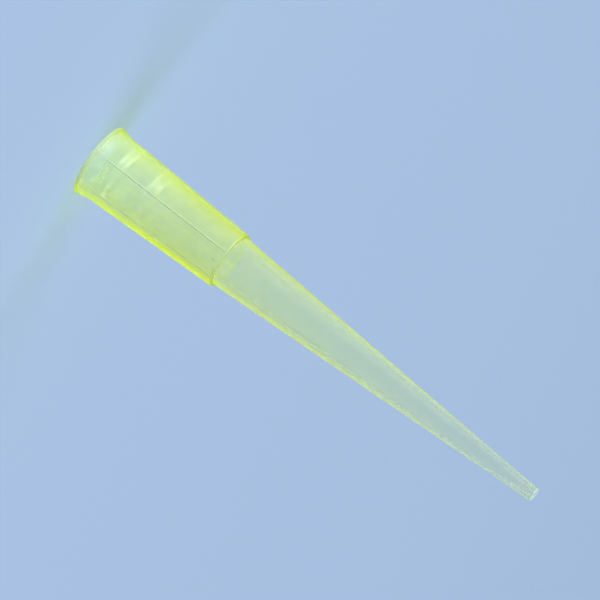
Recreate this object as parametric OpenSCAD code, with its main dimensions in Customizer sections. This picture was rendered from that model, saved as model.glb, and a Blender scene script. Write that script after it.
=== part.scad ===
// Pipette tip for air-displacement pipettors, 1 to 200 microlitres.
// Moulded in one piece in translucent yellow polypropylene.
// Frame: the tip stands on its mouth rim, +Z runs up its axis to the orifice,
// and the origin is the centre of the mouth rim. All sizes are in millimetres.

/* [Overall] */
// Length from the mouth rim to the orifice
tip_len = 51; // [36:0.5:80]

/* [Lip] */
// Outside diameter of the bead round the mouth
lip_d = 7.18; // [7.08:0.01:8.2]
// Height of the bead
lip_h = 0.33; // [0.26:0.01:0.9]
// Radius of the bead's two outer edges
lip_round = 0.12; // [0.04:0.01:0.15]
// How far the collar flares out under the bead
flare_w = 0.15; // [0.02:0.01:0.2]
// Length over which the flare runs out into the collar
flare_len = 1.1; // [0.3:0.05:4]

/* [Collar] */
// Length of the collar, from the mouth rim to the shoulder
collar_len = 15.55; // [12:0.05:24]
// Diameter of the collar's cone at the mouth rim
collar_mouth_d = 6.78; // [6.5:0.01:6.86]
// Diameter of the collar's cone at the shoulder
collar_end_d = 5.68; // [5.5:0.01:6.4]
// Radius of the shoulder's outer edge
shoulder_round = 0.14; // [0.04:0.01:0.24]

/* [Ribs] */
// Number of fine ribs along the collar
rib_count = 6; // [3:1:16]
// Width of a rib at its foot
rib_w = 0.2; // [0.1:0.01:0.5]
// Height of a rib above the collar
rib_h = 0.07; // [0.02:0.005:0.1]
// Distance from the ribs' ends to the shoulder
rib_end_gap = 0.3; // [0.25:0.05:8]

/* [Body] */
// Diameter of the body's cone at the shoulder
body_d = 5.15; // [4.8:0.01:5.2]
// Length of the fine point, which tapers less than the body's cone
point_len = 4; // [1:0.25:10]
// Outside diameter where the fine point starts
point_root_d = 1.7; // [1.5:0.01:2.4]
// Outside diameter at the orifice
point_d = 1.29; // [0.9:0.01:1.6]
// Radius of the outer edge at the orifice
point_round = 0.05; // [0.02:0.01:0.12]

/* [Bore] */
// Bore diameter at the mouth rim
mouth_bore_d = 6.2; // [5.6:0.01:6.4]
// Length of the bevel that leads in from the mouth rim
lead_in_len = 0.35; // [0.1:0.05:1.6]
// Diameter of the outer land, for the widest nozzles
outer_land_d = 5.24; // [4.9:0.01:5.8]
// Length of the outer land
outer_land_len = 2.15; // [0.5:0.05:4]
// Length of the cone from the outer land to the sealing land
outer_step_len = 0.6; // [0.2:0.05:1.5]
// Diameter of the sealing land that grips the nozzle
seal_land_d = 4.8; // [4.5:0.01:5.15]
// Length of the sealing land
seal_land_len = 2.85; // [1.5:0.05:6]
// Length of the cone from the sealing land to the long taper
seal_step_len = 0.9; // [0.2:0.05:1.5]
// Bore diameter where the long taper starts
taper_d = 4.45; // [3.6:0.01:4.7]
// Bore diameter where the fine point starts
point_bore_d = 1.16; // [0.7:0.01:1.3]
// Diameter of the orifice
orifice_d = 0.5; // [0.3:0.01:0.9]

/* [Hidden] */

yellow_plastic = [0.85, 0.9, 0.42, 0.8];
round_facets = 96;
rib_facets = 24;

// Slope and half-angle of the collar's cone
collar_slope = (collar_mouth_d - collar_end_d) / 2 / collar_len;
collar_angle = atan(collar_slope);

// Heights in the bore above the mouth rim
outer_step_z = lead_in_len + outer_land_len;
seal_land_z = outer_step_z + outer_step_len;
seal_step_z = seal_land_z + seal_land_len;
taper_z = seal_step_z + seal_step_len;
// Height at which the fine point starts
point_z = tip_len - point_len;
// How far the bore's cutter runs past the two faces that it opens
overcut = 1;

// Outside radius of the collar's cone at height z
function collar_r(z) = collar_mouth_d / 2 - collar_slope * z;

// A unit vector square to a cone of half-angle a, seen in section
function square_to(a) = [cos(a), sin(a)];

module disc(centre, radius) {
    translate(centre)
        circle(r = radius, $fn = round_facets);
}

// Section of a frustum from z1 to z2
module frustum_section(r1, z1, r2, z2) {
    polygon([[0, z1], [r1, z1], [r2, z2], [0, z2]]);
}

// The same with the radius edge on its upper outer edge. Its cone has radius
// r2 at z2 where that edge isn't rounded.
module rounded_frustum_section(r1, z1, r2, z2, edge) {
    a = atan((r1 - r2) / (z2 - z1));
    centre = [r2 + edge * tan(a) - edge / cos(a), z2 - edge];
    polygon([
        [0, z1],
        [r1, z1],
        centre + edge * square_to(a),
        [centre.x, z2],
        [0, z2]]);
    disc(centre, edge);
}

// The bead round the mouth, with two rounded edges
module bead_section() {
    r = lip_d / 2 - lip_round;
    square([r, lip_h]);
    translate([0, lip_round])
        square([lip_d / 2, lip_h - 2 * lip_round]);
    disc([r, lip_round], lip_round);
    disc([r, lip_h - lip_round], lip_round);
}

// The flare under the bead, a cone that runs out flare_len further up
module flare_section() {
    end_z = lip_h + flare_len;
    frustum_section(collar_r(lip_h) + flare_w, lip_h, collar_r(end_z), end_z);
}

module outside() {
    rotate_extrude($fn = round_facets) {
        bead_section();
        flare_section();
        rounded_frustum_section(collar_mouth_d / 2, 0,
            collar_end_d / 2, collar_len, shoulder_round);
        frustum_section(body_d / 2, collar_len, point_root_d / 2, point_z);
        rounded_frustum_section(point_root_d / 2, point_z,
            point_d / 2, tip_len, point_round);
    }
}

// Bevel, two lands with a cone out of each, the long taper, and the steeper
// one down the fine point. Both ends run straight on past their faces.
module bore() {
    rotate_extrude($fn = round_facets)
        polygon([
            [0, -overcut],
            [mouth_bore_d / 2, -overcut],
            [mouth_bore_d / 2, 0],
            [outer_land_d / 2, lead_in_len],
            [outer_land_d / 2, outer_step_z],
            [seal_land_d / 2, seal_land_z],
            [seal_land_d / 2, seal_step_z],
            [taper_d / 2, taper_z],
            [point_bore_d / 2, point_z],
            [orifice_d / 2, tip_len],
            [orifice_d / 2, tip_len + overcut],
            [0, tip_len + overcut]]);
}

// One fine rib: a slim rod laid along the collar's cone, sunk until only
// its crown, rib_w wide and rib_h high, stands out
module rib() {
    rod_r = (pow(rib_w / 2, 2) + pow(rib_h, 2)) / (2 * rib_h);
    start_z = lip_h / 2;
    rod_len = (collar_len - rib_end_gap - start_z) / cos(collar_angle);
    translate([collar_r(start_z) + rib_h - rod_r, 0, start_z])
        rotate([0, -collar_angle, 0])
            cylinder(r = rod_r, h = rod_len, $fn = rib_facets);
}

module ribs() {
    for (i = [0 : rib_count - 1])
        rotate([0, 0, 360 * i / rib_count])
            rib();
}

module pipette_tip() {
    color(yellow_plastic)
        difference() {
            union() {
                outside();
                ribs();
            }
            bore();
        }
}

pipette_tip();
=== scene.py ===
from math import ceil, cos, pi, radians, sin, tan

import bpy
from bpy.props import (FloatProperty, FloatVectorProperty, IntProperty,
                       PointerProperty)
from mathutils import Matrix, Vector


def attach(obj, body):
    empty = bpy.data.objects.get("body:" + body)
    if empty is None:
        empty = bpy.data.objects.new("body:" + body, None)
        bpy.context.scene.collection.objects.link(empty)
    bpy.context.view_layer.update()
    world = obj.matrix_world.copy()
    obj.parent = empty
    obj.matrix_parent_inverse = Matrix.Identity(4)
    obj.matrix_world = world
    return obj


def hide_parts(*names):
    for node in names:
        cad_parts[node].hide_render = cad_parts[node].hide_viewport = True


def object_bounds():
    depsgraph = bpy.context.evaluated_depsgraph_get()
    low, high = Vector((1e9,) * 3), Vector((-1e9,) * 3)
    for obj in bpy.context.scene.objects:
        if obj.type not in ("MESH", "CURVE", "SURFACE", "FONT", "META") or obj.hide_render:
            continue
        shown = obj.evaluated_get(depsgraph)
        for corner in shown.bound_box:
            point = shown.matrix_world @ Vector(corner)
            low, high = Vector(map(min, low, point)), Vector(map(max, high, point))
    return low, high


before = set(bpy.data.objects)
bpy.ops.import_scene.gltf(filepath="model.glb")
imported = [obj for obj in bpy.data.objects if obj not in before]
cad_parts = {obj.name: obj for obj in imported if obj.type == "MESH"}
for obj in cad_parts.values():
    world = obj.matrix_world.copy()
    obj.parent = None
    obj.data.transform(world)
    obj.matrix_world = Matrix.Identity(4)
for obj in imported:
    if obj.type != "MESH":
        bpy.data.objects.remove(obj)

CAD_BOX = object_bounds()

bl_info = {
    "name": "Pipette Tip",
    "version": (1, 0, 0),
    "blender": (4, 5, 0),
    "location": "3D View > Sidebar > Pipette Tip",
    "description": "Builds a translucent yellow pipette tip and its studio",
    "category": "Object",
}

NODE = "pipette_tip"
BODY = "root"
SLOT = "yellow_polypropylene"
MM = 0.001


# ----------------------------------------------------------- properties

LEAST_LENGTH = 0.01 * MM


def length(name, description, mm):
    """A length that a user may change, given in millimetres."""
    return FloatProperty(
        name=name, description=description, default=mm * MM,
        min=LEAST_LENGTH, soft_max=4 * mm * MM, precision=5, step=0.01,
        subtype="DISTANCE", unit="LENGTH")


def angle(name, description, degrees):
    return FloatProperty(
        name=name, description=description, default=radians(degrees),
        subtype="ANGLE", unit="ROTATION")


def share(name, description, value):
    return FloatProperty(
        name=name, description=description, default=value, min=0.0, max=1.0,
        precision=3, subtype="FACTOR")


def amount(name, description, value, high=100.0):
    return FloatProperty(
        name=name, description=description, default=value, min=0.0,
        max=high, precision=3)


def colour(name, description, value):
    return FloatVectorProperty(
        name=name, description=description, default=value, size=3,
        min=0.0, max=1.0, subtype="COLOR")


class TipSizes(bpy.types.PropertyGroup):
    """The same sizes as the part's solids have, and the mesh's columns"""
    tip_len: length("Length", "Mouth rim to orifice", CAD_BOX[1].z / MM)
    lip_d: length("Lip diameter", "Across the bead", 7.18)
    lip_h: length("Lip height", "Height of the bead", 0.33)
    lip_round: length("Lip edge", "Radius of the bead's outer edges", 0.12)
    flare_w: length("Flare", "Width of the flare under the bead", 0.15)
    flare_len: length("Flare length", "Where the flare runs out", 1.1)
    collar_len: length("Collar length", "Mouth rim to shoulder", 15.55)
    collar_mouth_d: length("Collar at mouth", "Cone at the rim", 6.78)
    collar_end_d: length("Collar at shoulder", "Cone at its end", 5.68)
    shoulder_round: length("Shoulder edge", "Radius of the edge", 0.14)
    rib_w: length("Rib width", "Width of a rib at its foot", 0.2)
    rib_h: length("Rib height", "Height above the collar", 0.07)
    rib_end_gap: length("Rib gap", "Rib ends to shoulder", 0.3)
    body_d: length("Body at shoulder", "Cone at the shoulder", 5.15)
    point_len: length("Point length", "Length of the fine point", 4.0)
    point_root_d: length("Point root", "Outside where it starts", 1.7)
    point_d: length("Point diameter", "Outside the orifice", 1.29)
    point_round: length("Point edge", "Radius of the outer edge", 0.05)
    mouth_bore_d: length("Bore at mouth", "Bore at the rim", 6.2)
    lead_in_len: length("Lead-in", "Length of the bevel", 0.35)
    outer_land_d: length("Outer land", "Diameter of the wide land", 5.24)
    outer_land_len: length("Outer land length", "Its length", 2.15)
    outer_step_len: length("Outer step", "Cone to the sealing land", 0.6)
    seal_land_d: length("Sealing land", "Diameter that grips", 4.8)
    seal_land_len: length("Sealing land length", "Its length", 2.85)
    seal_step_len: length("Sealing step", "Cone to the long taper", 0.9)
    taper_d: length("Taper start", "Bore where the taper starts", 4.45)
    point_bore_d: length("Point bore", "Bore where the point starts", 1.16)
    orifice_d: length("Orifice", "Diameter of the orifice", 0.5)
    rib_count: IntProperty(
        name="Ribs", description="Ribs round the collar", default=6,
        min=3, max=24)
    rib_columns: IntProperty(
        name="Columns per rib", description="Mesh columns from rib to rib",
        default=56, min=12, max=60)
    gathering: share("Gathering", "How far columns gather at the ribs", 0.7)


class TipFinish(bpy.types.PropertyGroup):
    """The plastic: a clear share, a milky share and a dye, with whitish milk painted on
    edges as a highlight
    """
    tint: colour("Tint", "Colour of the clear share", (0.985, 1.0, 0.93))
    milk_tint: colour("Milk tint", "Light scattered by a 1 mm wall",
                      (0.69, 0.79, 0.19))
    thin_tint: colour("Thin tint", "Light scattered by a thin wall",
                      (0.77, 0.98, 0.88))
    glow_tint: colour("Glow tint", "Light scattered on through a wall",
                      (0.71, 0.80, 0.19))
    depth_tint: colour("Depth tint", "What a long way through it leaves",
                       (1.0, 0.995, 0.10))
    depth_density: amount("Depth density", "Absorption a metre", 210.0, 1e5)
    milk: share("Milk", "Light scattered by each face, for a 1 mm wall",
                0.24)
    aslant_milk: amount("Slanting milk", "More of it where seen aslant", 1.8)
    # whitish milk on edges and ribs: a painted highlight
    painted_edge_highlight: share("Edge milk", "Light scattered by edges and ribs", 0.5)
    mouth_milk: share("Mouth milk", "More of it at the mouth", 0.5)
    mouth_reach: length("Mouth's reach", "Where its share has faded", 12.0)
    shadow_tint: colour("Shadow tint", "Lamp light that a face lets through",
                        (0.88, 0.89, 0.85))
    gloss: share("Roughness", "Roughness of the polished outside", 0.07)


class Studio(bpy.types.PropertyGroup):
    """The floor, the light and the camera"""
    ground: colour("Floor", "Colour of the floor", (0.43, 0.58, 0.82))
    floor_side: length("Floor side", "Side of the square floor", 1200.0)
    sky: colour("Sky", "Colour of the light all round", (0.95, 0.97, 1.0))
    sky_level: amount("Sky level", "Strength of the sky", 0.2)
    lamp_level: amount("Lamp level", "Multiplies each lamp's power", 1.0)
    height: angle("Camera height", "Angle above the floor", 13.3)
    turn: angle("Camera turn", "Angle round the tip from a rib", 8.3)
    lean: angle("Tip lean", "Fall of the tip's axis in the frame", 37.57)
    distance: length("Camera distance", "Lens to tip", 1200.0)
    frame_width: length("Frame width", "Width that the camera takes in", 54.2)
    shift_right: length("Frame right", "Tip's middle right of centre", 1.39)
    shift_down: length("Frame down", "Tip's middle below centre", 2.39)


# ------------------------------------------------------------ node trees

class Value:
    """A socket whose arithmetic adds Math nodes to its tree."""

    def __init__(self, tree, socket):
        self.tree = tree
        self.socket = socket

    def __add__(self, other):
        return self.tree.maths("ADD", self, other)

    def __sub__(self, other):
        return self.tree.maths("SUBTRACT", self, other)

    def __mul__(self, other):
        return self.tree.maths("MULTIPLY", self, other)

    def __truediv__(self, other):
        return self.tree.maths("DIVIDE", self, other)

    def __mod__(self, other):
        return self.tree.maths("MODULO", self, other)

    def __rsub__(self, other):
        return self.tree.maths("SUBTRACT", other, self)

    def __rtruediv__(self, other):
        return self.tree.maths("DIVIDE", other, self)

    __radd__ = __add__
    __rmul__ = __mul__

    def at_most(self, other):
        return self.tree.maths("MINIMUM", self, other)

    def at_least(self, other):
        return self.tree.maths("MAXIMUM", self, other)


class Tree:
    """Adds nodes to a node tree."""

    def __init__(self, tree):
        self.tree = tree

    def node(self, kind, settings=None, sockets=None):
        """A node with its settings made first, then its sockets, by name
        or index, from values, other sockets or Values."""
        made = self.tree.nodes.new(kind)
        for key, value in (settings or {}).items():
            setattr(made, key, value)
        for key, value in (sockets or {}).items():
            self.put(made.inputs[key], value)
        return made

    def put(self, socket, value):
        value = value.socket if isinstance(value, Value) else value
        if isinstance(value, bpy.types.NodeSocket):
            self.tree.links.new(value, socket)
        else:
            socket.default_value = value

    def value(self, made, output=0):
        return Value(self, made.outputs[output])

    def maths(self, operation, *values):
        return self.value(self.node(
            "ShaderNodeMath", {"operation": operation},
            dict(enumerate(values))))

    def mix(self, factor, a, b):
        """A mixed colour."""
        return self.value(self.node(
            "ShaderNodeMix", {"data_type": "RGBA"},
            {"Factor": factor, 6: a, 7: b}), 2)

    def noise(self, places, scale, detail=2.0):
        return self.value(self.node("ShaderNodeTexNoise", None, {
            "Vector": places, "Scale": scale, "Detail": detail}))

    def named(self, name):
        """The piece's own numbers of that name."""
        return self.value(self.node(
            "ShaderNodeAttribute", {"attribute_name": name}), "Fac")

    def object_places(self):
        return self.value(self.node("ShaderNodeTexCoord"), "Object")

    def stretched(self, places, scale):
        """Places scaled by a different number along each axis."""
        return self.value(self.node(
            "ShaderNodeVectorMath", {"operation": "MULTIPLY"},
            {0: places, 1: scale}))

    def mixed_shader(self, factor, a, b):
        return self.node("ShaderNodeMixShader", None, {
            0: factor, 1: a.outputs[0], 2: b.outputs[0]})


def between(part, off, on):
    """From off to on as part goes from 0 to 1."""
    return off - part * (off - on)


def rgba(tone, level=1):
    return (*(c * level for c in tone), 1)


def new_material(name):
    mat = bpy.data.materials.new(name)
    mat.use_nodes = True
    mat.node_tree.nodes.clear()
    return mat, Tree(mat.node_tree)


# ------------------------------------------------------------- materials

# What the tip's mesh holds at each of its points
WALL_DEPTH = "wall_depth"  # how thick the wall is there
OUTER = "outer"            # 1 on the outside, 0 in the bore
PAINTED_HIGHLIGHT = "edge"              # how strongly light gathers on an edge, painted on it as whitish milk: a painted highlight

REFRACTION = 1.49
# The darker tone of a mottled colour, as a share of it
MOTTLE = 0.97

# The plastic's patterns, in cells a metre. The flow is drawn out along the
# tip, as the melt ran.
FLOW_SCALE = 900.0
FLOW_DETAIL = 3.0
FLOW_STRETCH = (1, 1, 0.12)
CLOUD_SCALE = 420.0
GRAIN_SCALE = 9000.0

# The flow's dents in the outside
DENT_STRENGTH = 0.06
DENT_DEPTH = 0.02 * MM

# How much of the roughness goes with each pattern, and how much is even
CLOUD_GLOSS = 0.8
GRAIN_GLOSS = 0.2
EVEN_GLOSS = 0.5
# How many times as rough as the outside the bore is
BORE_ROUGHNESS = 3
MILK_ROUGHNESS = 0.24

# Yellow of a 1 mm wall's milk away from the mouth, and at it
YELLOW_STRAIGHT = (0.45, 0.10)
YELLOW_ASLANT = (1.9, 0.6)
# Yellow of the painted highlights on edges, and the mark at which they have none
YELLOW_EDGE = 18.0
WHITE_EDGE = 0.62

# Share of the milk that sends light on through the wall: seen straight on, what a slant
# adds in the thinnest wall, and how much is left on an edge, whose painted highlight is
# thus mostly milk that scatters light back
GLOW_STRAIGHT = 0.12
GLOW_ASLANT = 0.3
GLOW_EDGE = 0.2

# How milk goes with the wall's depth in mm, and with its square
MILK_THIN = 0.2
MILK_DEEP = 1.1
# How much milk goes with each pattern, and how much is even
FLOW_MILK = 0.4
CLOUD_MILK = 0.7
EVEN_MILK = 0.45
# Milk in the faces of the bore and of the outside
BORE_MILK = 0.5
OUTER_MILK = 1.3
# Milk of outer faces seen aslant: its share in the thinnest wall, what each
# mm of depth adds to that, and the most that there is
SLANT_THIN = 0.3
SLANT_DEEP = 1.5
SLANT_MOST = 0.58
# Milk on edges, a painted highlight: seen straight on, and what a slant adds
EDGE_STRAIGHT = 1.5
EDGE_ASLANT = 8.0

FLECK_SCALE = 1500.0
FLECK_DETAIL = 3.0
PAPER_ROUGHNESS = 0.9
PAPER_SHEEN = 0.1


def yellowness(depth, aslant, mouth, edge):
    """How yellow the milk is: more in a deep wall and where it is seen aslant, less by the
    mouth. On edges, where the milk is a painted highlight, it is yellow where the mark is
    faint and seen aslant, and white where the mark is strong."""
    wall = depth * (depth * between(mouth, *YELLOW_STRAIGHT)
                    + aslant * aslant * between(mouth, *YELLOW_ASLANT))
    return wall * (1 - edge) \
        + edge * (WHITE_EDGE - edge) * aslant * YELLOW_EDGE


def milkiness(finish, flow, cloud, depth, aslant, mouth, edge, outer):
    """How much of the light is scattered: by the wall, by outer faces seen aslant, and by
    edges, where whitish milk is a painted highlight."""
    within = depth * (MILK_THIN + depth * MILK_DEEP) \
        * (flow * FLOW_MILK + cloud * CLOUD_MILK + EVEN_MILK) \
        * (mouth * finish.mouth_milk + 1) \
        * between(outer, BORE_MILK, OUTER_MILK) * finish.milk
    slanting = outer * (depth * SLANT_DEEP + SLANT_THIN).at_most(1.0) \
        * (aslant * aslant * finish.aslant_milk).at_most(SLANT_MOST)
    edges = edge * (aslant * EDGE_ASLANT + EDGE_STRAIGHT) * finish.painted_edge_highlight
    return within + slanting + edges


def polypropylene(finish):
    """Thin yellow polypropylene: clear enough to see through, with a
    milky share and a dye that tells where light goes further through."""
    mat, tree = new_material(SLOT)
    places = tree.object_places()
    flow = tree.noise(tree.stretched(places, FLOW_STRETCH), FLOW_SCALE,
                      FLOW_DETAIL)
    cloud = tree.noise(places, CLOUD_SCALE)
    grain = tree.noise(places, GRAIN_SCALE)
    depth = tree.named(WALL_DEPTH) / MM
    # marks of the painted highlight on edges, ribs and end faces
    edge = tree.named(PAINTED_HIGHLIGHT)
    outer = tree.named(OUTER)
    aslant = tree.value(tree.node(
        "ShaderNodeLayerWeight", None, {"Blend": 0.5}), "Facing")
    height = tree.value(tree.node(
        "ShaderNodeSeparateXYZ", None, {0: places}), "Z")
    mouth = (1 - height / finish.mouth_reach).at_least(0.0)

    dents = tree.node("ShaderNodeBump", None, {
        "Strength": DENT_STRENGTH, "Distance": DENT_DEPTH,
        "Height": flow * outer}).outputs[0]
    clear = tree.node("ShaderNodeBsdfPrincipled", None, {
        "Base Color": tree.mix(cloud, rgba(finish.tint),
                               rgba(finish.tint, MOTTLE)),
        "Roughness": finish.gloss
        * (cloud * CLOUD_GLOSS + grain * GRAIN_GLOSS + EVEN_GLOSS)
        * between(outer, BORE_ROUGHNESS, 1),
        "IOR": REFRACTION, "Transmission Weight": 1.0, "Normal": dents})
    front = tree.node("ShaderNodeBsdfPrincipled", None, {
        "Base Color": tree.mix(yellowness(depth, aslant, mouth, edge),
                               rgba(finish.thin_tint),
                               rgba(finish.milk_tint)),
        "Roughness": MILK_ROUGHNESS, "IOR": REFRACTION, "Normal": dents})
    back = tree.node("ShaderNodeBsdfTranslucent", None, {
        "Color": rgba(finish.glow_tint), "Normal": dents})
    # edges send little light on through, so their painted highlight scatters back as
    # whitish milk
    glow = (aslant * (depth + GLOW_ASLANT) + GLOW_STRAIGHT) \
        * between(edge, 1, GLOW_EDGE)
    milk = tree.mixed_shader(glow, front, back)
    wall = tree.mixed_shader(
        milkiness(finish, flow, cloud, depth, aslant, mouth, edge, outer),
        clear, milk)
    # light from the lamps goes through
    let_through = tree.node("ShaderNodeBsdfTransparent", None, {
        "Color": rgba(finish.shadow_tint)})
    shadow = tree.node("ShaderNodeLightPath").outputs["Is Shadow Ray"]
    lit = tree.mixed_shader(shadow, wall, let_through)
    dye = tree.node("ShaderNodeVolumeAbsorption", None, {
        "Color": rgba(finish.depth_tint), "Density": finish.depth_density})
    tree.node("ShaderNodeOutputMaterial", None, {
        "Surface": lit.outputs[0], "Volume": dye.outputs[0]})
    return mat


def floor_sheet(studio):
    """Matt paper with faint flecks."""
    mat, tree = new_material("studio_floor")
    fleck = tree.noise(tree.object_places(), FLECK_SCALE, FLECK_DETAIL)
    paper = tree.node("ShaderNodeBsdfPrincipled", None, {
        "Base Color": tree.mix(fleck, rgba(studio.ground, MOTTLE),
                               rgba(studio.ground)),
        "Roughness": PAPER_ROUGHNESS, "Specular IOR Level": PAPER_SHEEN})
    tree.node("ShaderNodeOutputMaterial", None, {
        "Surface": paper.outputs[0]})
    return mat


# --------------------------------------------------------------- section

# An arc has a point at least this often, and a straight side too
ROUND_STEP = radians(14)
LONGEST_STEP = 1.3 * MM
# Distance from an arc's end to the row that keeps its mark off the side
GUARD = 0.05 * MM
# A side shorter than this beyond an arc has no such row
GUARD_ROOM = 3 * GUARD
# The most of a side that the arc at one of its ends may take
ARC_SHARE = 0.45
# Shorter distances than this count as none
TOUCHING = 1e-9
# A point closer to an end face than this is on it
ON_FACE = 1e-7

# Radii of the edges that the part's solids leave sharp
FLARE_RUN_OUT = 3 * MM
FLARE_FOOT = 0.03 * MM
SHOULDER_FOOT = 0.06 * MM
ORIFICE_EDGE = 0.03 * MM
SEAL_STEP_EDGE = 1.2 * MM
OUTER_STEP_EDGE = 0.7 * MM
LEAD_IN_EDGE = 0.06 * MM
MOUTH_EDGE = 0.07 * MM

# Marks: how strongly light gathers on an edge, from 0 to 1, painted on it as whitish milk:
# a painted highlight
LIP_FOOT_MARK = 0.6
LIP_SIDE_MARK = 0.2
LIP_TOP_MARK = 0.4
FLARE_MARK = 0.2
SHOULDER_MARK = 0.3
POINT_MARK = 0.6
STEP_MARK = 0.5
FACE_MARK = 0.85
RIB_MARK = 0.45

# Heights of the rows where a rib ends, from its end
RIB_END_ROWS = (-0.06 * MM, -0.02 * MM, 0, 0.04 * MM)


def rounded(corners):
    """A closed line of points through corners given as (radius, height, edge radius,
    mark), with each edge turned on its arc. Each point comes as (place, mark), and points
    off the edges have the mark 0. A mark is how much painted highlight an edge gets."""
    line = []
    for i, (r, z, edge, mark) in enumerate(corners):
        here = Vector((r, z))
        back = Vector(corners[i - 1][:2]) - here
        on = Vector(corners[(i + 1) % len(corners)][:2]) - here
        turn = pi - back.angle(on)
        reach = min(edge * tan(turn / 2), ARC_SHARE * back.length,
                    ARC_SHARE * on.length)
        if edge == 0 or reach < TOUCHING:
            line.append((here, mark))
            continue
        edge = reach / tan(turn / 2)
        start = here + back.normalized() * reach
        middle = here + (back.normalized() + on.normalized()).normalized() \
            * (edge / cos(turn / 2))
        side = 1 if back.x * on.y - back.y * on.x > 0 else -1
        steps = max(2, ceil(turn / ROUND_STEP))
        if back.length > reach + GUARD_ROOM:
            line.append((here + back.normalized() * (reach + GUARD), 0.0))
        arm = start - middle
        for k in range(steps + 1):
            swing = -side * turn * k / steps
            line.append((middle + Vector((
                arm.x * cos(swing) - arm.y * sin(swing),
                arm.x * sin(swing) + arm.y * cos(swing))), mark))
        if on.length > reach + GUARD_ROOM:
            line.append((here + on.normalized() * (reach + GUARD), 0.0))
    filled = []
    for i, (p, mark) in enumerate(line):
        filled.append((p, mark))
        gap = line[(i + 1) % len(line)][0] - p
        more = ceil(gap.length / LONGEST_STEP)
        filled += [(p + gap * k / more, 0.0) for k in range(1, more)]
    return filled


def topmost(line):
    """Index of the outline's first point at the top."""
    return max(range(len(line)), key=lambda i: line[i].y)


def depth_at(line, z):
    """How thick the wall is at the height z, or for an end face just
    inside it."""
    top = max(p.y for p in line)
    z = min(max(z, GUARD), top - GUARD)
    crossed = []
    for p, q in zip(line, line[1:] + line[:1]):
        if (p.y - z) * (q.y - z) <= 0 and p.y != q.y:
            crossed.append(p.x + (q.x - p.x) * (z - p.y) / (q.y - p.y))
    return max(crossed) - min(crossed)


def collar_r(size, z):
    """Radius of the collar's cone at the height z."""
    slope = (size.collar_mouth_d - size.collar_end_d) / 2 / size.collar_len
    return size.collar_mouth_d / 2 - slope * z


def wall_section(size):
    """The wall's outline, up the outside and back down the bore."""
    lip_r = size.lip_d / 2
    flare_z = size.lip_h + size.flare_len
    rib_z = size.collar_len - size.rib_end_gap
    point_z = size.tip_len - size.point_len
    outer_step_z = size.lead_in_len + size.outer_land_len
    seal_z = outer_step_z + size.outer_step_len
    seal_step_z = seal_z + size.seal_land_len
    taper_z = seal_step_z + size.seal_step_len
    outside = [
        (lip_r, 0, size.lip_round, LIP_FOOT_MARK),
        (lip_r, size.lip_h / 2, 0, LIP_SIDE_MARK),
        (lip_r, size.lip_h, size.lip_round, LIP_TOP_MARK),
        (collar_r(size, size.lip_h) + size.flare_w, size.lip_h, FLARE_FOOT,
         FLARE_MARK),
        (collar_r(size, flare_z), flare_z, FLARE_RUN_OUT, 0),
        *((collar_r(size, rib_z + row), rib_z + row, 0, 0)
          for row in RIB_END_ROWS),
        (size.collar_end_d / 2, size.collar_len, size.shoulder_round,
         SHOULDER_MARK),
        (size.body_d / 2, size.collar_len, SHOULDER_FOOT, 0),
        (size.point_root_d / 2, point_z, 0, 0),
        (size.point_d / 2, size.tip_len, size.point_round, POINT_MARK),
    ]
    inside = [
        (size.orifice_d / 2, size.tip_len, ORIFICE_EDGE, POINT_MARK),
        (size.point_bore_d / 2, point_z, 0, 0),
        (size.taper_d / 2, taper_z, SEAL_STEP_EDGE, STEP_MARK),
        (size.seal_land_d / 2, seal_step_z, SEAL_STEP_EDGE, STEP_MARK),
        (size.seal_land_d / 2, seal_z, OUTER_STEP_EDGE, STEP_MARK),
        (size.outer_land_d / 2, outer_step_z, OUTER_STEP_EDGE, STEP_MARK),
        (size.outer_land_d / 2, size.lead_in_len, LEAD_IN_EDGE, 0),
        (size.mouth_bore_d / 2, 0, MOUTH_EDGE, 0),
    ]
    return rounded(outside + inside)


def rib_rod(size):
    """Radius of the rod whose crown is a rib."""
    return ((size.rib_w / 2) ** 2 + size.rib_h ** 2) / (2 * size.rib_h)


def rod_places(size, line):
    """How far the ribs' rods lie from the axis beside each point of the
    outline, or 0 where they don't reach."""
    end = size.collar_len - size.rib_end_gap
    last = topmost(line)
    return [collar_r(size, p.y) + size.rib_h - rib_rod(size)
            if i < last and size.lip_h / 2 < p.y < end - TOUCHING else 0.0
            for i, p in enumerate(line)]


# ------------------------------------------------------------- tip's tree

# How far the ribs' rods lie from the axis, at each point of the section
ROD_PLACE = "rod_place"
# Height over which a rib's painted highlight mark comes in, as a share of its rod's radius
RIB_MARK_RISE = 0.3
# Points closer than this become one
WELD = 0.0005 * MM

TREE_INPUTS = {
    "Section": "NodeSocketGeometry", "Rows": "NodeSocketInt",
    "Ribs": "NodeSocketInt", "Columns per Rib": "NodeSocketInt",
    "Gathering": "NodeSocketFloat", "Rod Radius": "NodeSocketFloat",
    "Material": "NodeSocketMaterial"}


def section_mesh(size):
    """The section as a line of points that ends where it starts, with what
    the tree reads from each."""
    section = wall_section(size)
    line = [p for p, _ in section]
    last = topmost(line)
    faces = [p.y < ON_FACE or p.y > size.tip_len - ON_FACE for p in line]
    mesh = bpy.data.meshes.new("section")
    mesh.from_pydata([(p.x, 0, p.y) for p in line + line[:1]], [], [])
    for name, values in (
            (ROD_PLACE, rod_places(size, line)),
            (WALL_DEPTH, [depth_at(line, p.y) for p in line]),
            (OUTER, [float(i <= last) for i in range(len(line))]),
            # marks of painted highlight: each edge's own, and a strong one on the end
            # faces
            (PAINTED_HIGHLIGHT, [max(mark, FACE_MARK * face)
                    for (_, mark), face in zip(section, faces)])):
        layer = mesh.attributes.new(name, "FLOAT", "POINT")
        layer.data.foreach_set("value", values + values[:1])
    return mesh


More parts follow.
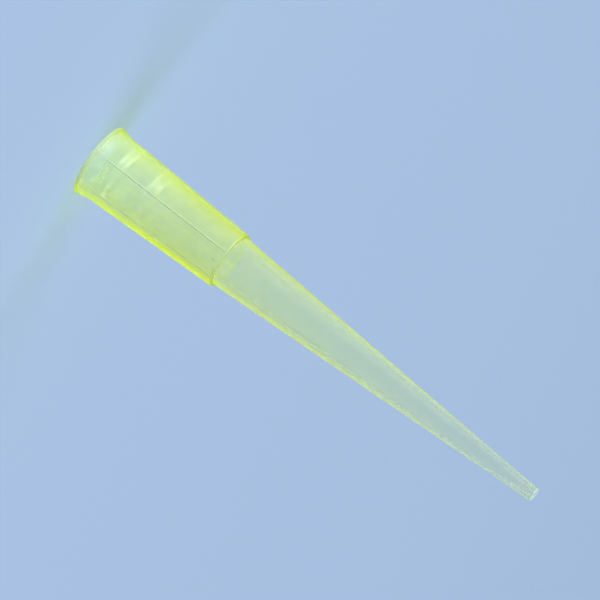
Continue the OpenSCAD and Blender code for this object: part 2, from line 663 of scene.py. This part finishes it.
def tip_tree():
    """Turns a section into a closed wall with ribs. Its columns are
    gathered round the ribs."""
    group = bpy.data.node_groups.new("Turned Tip", "GeometryNodeTree")
    face = group.interface
    face.new_socket("Geometry", in_out="OUTPUT",
                    socket_type="NodeSocketGeometry")
    for name, kind in TREE_INPUTS.items():
        face.new_socket(name, in_out="INPUT", socket_type=kind)
    tree = Tree(group)
    given = tree.node("NodeGroupInput")
    ribs = tree.value(given, "Ribs")
    columns = tree.value(given, "Columns per Rib")
    gather = tree.value(given, "Gathering")
    rod_r = tree.value(given, "Rod Radius")

    # a plain sheet with a row for each point of the section
    sheet = tree.node("GeometryNodeMeshCylinder", {"fill_type": "NONE"}, {
        "Vertices": ribs * columns,
        "Side Segments": tree.value(given, "Rows") - 1})
    index = tree.value(tree.node("GeometryNodeInputIndex"))
    row = tree.maths("FLOOR", (index + 0.5) / (ribs * columns))
    column = index % (ribs * columns)

    # where each column goes, round the axis
    sector = tree.maths("FLOOR", (column + 0.5) / columns)
    part = (column - sector * columns) / columns
    part = part - gather * tree.maths("SINE", part * (2 * pi)) / (2 * pi)
    width = 2 * pi / ribs
    swing = (part + sector) * width
    from_rib = tree.maths("PINGPONG", part, 0.5) * width

    def on_row(kind, value):
        """What value is on this row's point of the section."""
        return tree.value(tree.node(
            "GeometryNodeSampleIndex", {"data_type": kind}, {
                "Geometry": given.outputs["Section"], "Value": value,
                "Index": row}))

    def marked(name):
        return on_row("FLOAT", tree.node(
            "GeometryNodeInputNamedAttribute", {"data_type": "FLOAT"},
            {"Name": name}).outputs[0])

    spot = tree.node("ShaderNodeSeparateXYZ", None, {0: on_row(
        "FLOAT_VECTOR", tree.node("GeometryNodeInputPosition").outputs[0])})

    # the rod's crown stands out of the collar beside each rib's middle
    rod = marked(ROD_PLACE)
    across = rod * tree.maths("SINE", from_rib)
    chord = rod_r * rod_r - across * across
    crown = (rod * tree.maths("COSINE", from_rib)
             + tree.maths("SQRT", chord.at_least(0.0))) \
        * tree.maths("GREATER_THAN", chord, 0.0)
    plain = tree.value(spot, "X")
    radius = plain.at_least(crown)
    # a painted highlight mark on each rib's crown, rising with its height
    rib_highlight = ((radius - plain) / (rod_r * RIB_MARK_RISE)).at_most(1.0) \
        * RIB_MARK

    moved = tree.node("ShaderNodeCombineXYZ", None, {
        "X": radius * tree.maths("COSINE", swing),
        "Y": radius * tree.maths("SINE", swing),
        "Z": tree.value(spot, "Z")})
    noted = tree.node("GeometryNodeSetPosition", None, {
        "Geometry": sheet.outputs["Mesh"], "Position": moved.outputs[0]})
    # stores each point's wall depth, its side, and the painted highlight mark of its edge
    # or rib
    for name, value in ((WALL_DEPTH, marked(WALL_DEPTH)),
                        (OUTER, marked(OUTER)),
                        (PAINTED_HIGHLIGHT, marked(PAINTED_HIGHLIGHT).at_least(rib_highlight))):
        noted = tree.node(
            "GeometryNodeStoreNamedAttribute",
            {"data_type": "FLOAT", "domain": "POINT"},
            {"Geometry": noted.outputs[0], "Name": name, "Value": value})
    closed = tree.node("GeometryNodeMergeByDistance", None, {
        "Geometry": noted.outputs[0], "Distance": WELD})
    outward = tree.node("GeometryNodeFlipFaces", None, {
        "Mesh": closed.outputs[0]})
    smooth = tree.node("GeometryNodeSetShadeSmooth", None, {
        "Geometry": outward.outputs[0]})
    real = tree.node("GeometryNodeRealizeInstances", None, {
        "Geometry": smooth.outputs[0]})
    dressed = tree.node("GeometryNodeSetMaterial", None, {
        "Geometry": real.outputs[0],
        "Material": given.outputs["Material"]})
    tree.node("NodeGroupOutput", None, {0: dressed.outputs[0]})
    return group


def made_by_tree(name, mesh, group, values):
    """A plain mesh object of what the tree makes of mesh."""
    start = bpy.data.objects.new(name + "_start", mesh)
    bpy.context.scene.collection.objects.link(start)
    work = start.modifiers.new("Turned", "NODES")
    work.node_group = group
    for item in group.interface.items_tree:
        if item.in_out == "INPUT" and item.name in values:
            work[item.identifier] = values[item.name]
    view = bpy.context.evaluated_depsgraph_get()
    done = bpy.data.meshes.new_from_object(start.evaluated_get(view))
    bpy.data.objects.remove(start)
    done.name = name
    piece = bpy.data.objects.new(name, done)
    bpy.context.scene.collection.objects.link(piece)
    return piece


# ---------------------------------------------------------------- studio

SENSOR = 36.0     # width of the camera's sensor, in mm
NEAREST = 0.01    # the camera shows what is further than this, in m,
FURTHEST = 10.0   # and nearer than this

# The lamps: the way to each from the tip's middle, as shares of aside, out
# and up, its distance and side in metres, and its watts. Aside is across
# the tip as the camera sees it, towards the frame's lower side, and out is
# level, towards the camera.
LAMPS = {
    "key": ((-0.8, 0.5, 0.33), 1.0, 0.6, 7.5),
    "fill": ((0.9, -0.35, 0.7), 1.2, 1.0, 9.5),
    "top": ((0, 0, 1), 1.2, 0.9, 3.3),
}


def view_axes(studio):
    """Unit vectors out, up, to the camera, along the tip as the camera
    sees it, and aside."""
    out = Vector((cos(studio.turn), sin(studio.turn), 0))
    up = Vector((0, 0, 1))
    to_camera = out * cos(studio.height) + up * sin(studio.height)
    along = up * cos(studio.height) - out * sin(studio.height)
    return out, up, to_camera, along, along.cross(to_camera)


# ------------------------------------------------------------- operators

class MakeTip(bpy.types.Operator):
    """Turn the tip's wall from its section, with the collar's ribs"""
    bl_idname = "pipette.make_tip"
    bl_label = "Tip"

    def execute(self, context):
        size = context.scene.tip_sizes
        mesh = section_mesh(size)
        piece = made_by_tree("tip_wall", mesh, tip_tree(), {
            "Rows": len(mesh.vertices), "Ribs": size.rib_count,
            "Columns per Rib": size.rib_columns,
            "Gathering": size.gathering, "Rod Radius": rib_rod(size),
            "Material": polypropylene(context.scene.tip_finish)})
        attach(piece, BODY)
        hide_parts(NODE)
        return {"FINISHED"}


class MakeStudio(bpy.types.Operator):
    """Lay the floor and set up the lights and the camera"""
    bl_idname = "pipette.make_studio"
    bl_label = "Studio"

    def execute(self, context):
        studio = context.scene.tip_studio
        middle = Vector((0, 0, context.scene.tip_sizes.tip_len / 2))
        self.floor(context, studio)
        self.sky(context, studio)
        self.camera(context, studio, middle)
        for name, lamp in LAMPS.items():
            self.lamp(context, studio, middle, name, *lamp)
        context.scene.view_settings.view_transform = "Standard"
        return {"FINISHED"}

    def floor(self, context, studio):
        half = studio.floor_side / 2
        mesh = bpy.data.meshes.new("floor")
        mesh.from_pydata([(-half, -half, 0), (half, -half, 0),
                          (half, half, 0), (-half, half, 0)],
                         [], [(0, 1, 2, 3)])
        mesh.materials.append(floor_sheet(studio))
        floor = bpy.data.objects.new("studio_floor", mesh)
        context.scene.collection.objects.link(floor)

    def sky(self, context, studio):
        """Shows a backdrop in the floor's colour, and lights with the
        dimmer sky what scatters light."""
        world = bpy.data.worlds.new("studio_world")
        context.scene.world = world
        world.use_nodes = True
        world.node_tree.nodes.clear()
        tree = Tree(world.node_tree)
        path = tree.node("ShaderNodeLightPath")
        seen = tree.value(path, "Is Camera Ray").at_least(
            tree.value(path, "Is Glossy Ray").at_least(
                tree.value(path, "Is Transmission Ray")))
        scattered = tree.value(path, "Diffuse Depth")
        light = tree.node("ShaderNodeBackground", None, {
            "Color": rgba(studio.sky), "Strength": studio.sky_level})
        backdrop = tree.node("ShaderNodeBackground", None, {
            "Color": rgba(studio.ground), "Strength": 1.0})
        both = tree.mixed_shader(
            seen * tree.maths("LESS_THAN", scattered, 0.5), light, backdrop)
        tree.node("ShaderNodeOutputWorld", None, {
            "Surface": both.outputs[0]})

    def camera(self, context, studio, middle):
        _, _, to_camera, along, aside = view_axes(studio)
        right = along * cos(studio.lean) - aside * sin(studio.lean)
        top = -along * sin(studio.lean) - aside * cos(studio.lean)
        target = middle - right * studio.shift_right \
            + top * studio.shift_down
        lens = bpy.data.cameras.new("camera")
        lens.sensor_width = SENSOR
        lens.lens = SENSOR * studio.distance / studio.frame_width
        lens.clip_start = NEAREST
        lens.clip_end = FURTHEST
        camera = bpy.data.objects.new("camera", lens)
        camera.matrix_world = Matrix.Translation(
            target + to_camera * studio.distance) @ Matrix((
                right, top, to_camera)).transposed().to_4x4()
        context.scene.collection.objects.link(camera)
        context.scene.camera = camera

    def lamp(self, context, studio, middle, name, shares, away, side, watts):
        """A square lamp that faces the tip's middle."""
        out, up, _, _, aside = view_axes(studio)
        way = (aside * shares[0] + out * shares[1]
               + up * shares[2]).normalized()
        data = bpy.data.lights.new(name, "AREA")
        data.shape = "SQUARE"
        data.size = side
        data.energy = studio.lamp_level * watts
        lamp = bpy.data.objects.new(name, data)
        lamp.matrix_world = Matrix.Translation(middle + way * away) \
            @ way.to_track_quat("Z", "Y").to_matrix().to_4x4()
        context.scene.collection.objects.link(lamp)


class TipPanel(bpy.types.Panel):
    """Offers both operators, and every size, finish and studio setting"""
    bl_idname = "VIEW3D_PT_pipette_tip"
    bl_label = "Pipette Tip"
    bl_space_type = "VIEW_3D"
    bl_region_type = "UI"
    bl_category = "Pipette Tip"

    def draw(self, context):
        for kind in OPERATORS:
            self.layout.operator(kind.bl_idname)
        for name, group in GROUPS.items():
            box = self.layout.box()
            for key in group.__annotations__:
                box.prop(getattr(context.scene, name), key)


GROUPS = {"tip_sizes": TipSizes, "tip_finish": TipFinish,
          "tip_studio": Studio}
OPERATORS = (MakeTip, MakeStudio)
CLASSES = (*GROUPS.values(), *OPERATORS, TipPanel)


def register():
    for kind in CLASSES:
        bpy.utils.register_class(kind)
    for name, group in GROUPS.items():
        setattr(bpy.types.Scene, name, PointerProperty(type=group))


def unregister():
    for name in GROUPS:
        delattr(bpy.types.Scene, name)
    for kind in reversed(CLASSES):
        bpy.utils.unregister_class(kind)


def main():
    register()
    bpy.ops.pipette.make_tip()
    bpy.ops.pipette.make_studio()


if __name__ == "__main__":
    main()
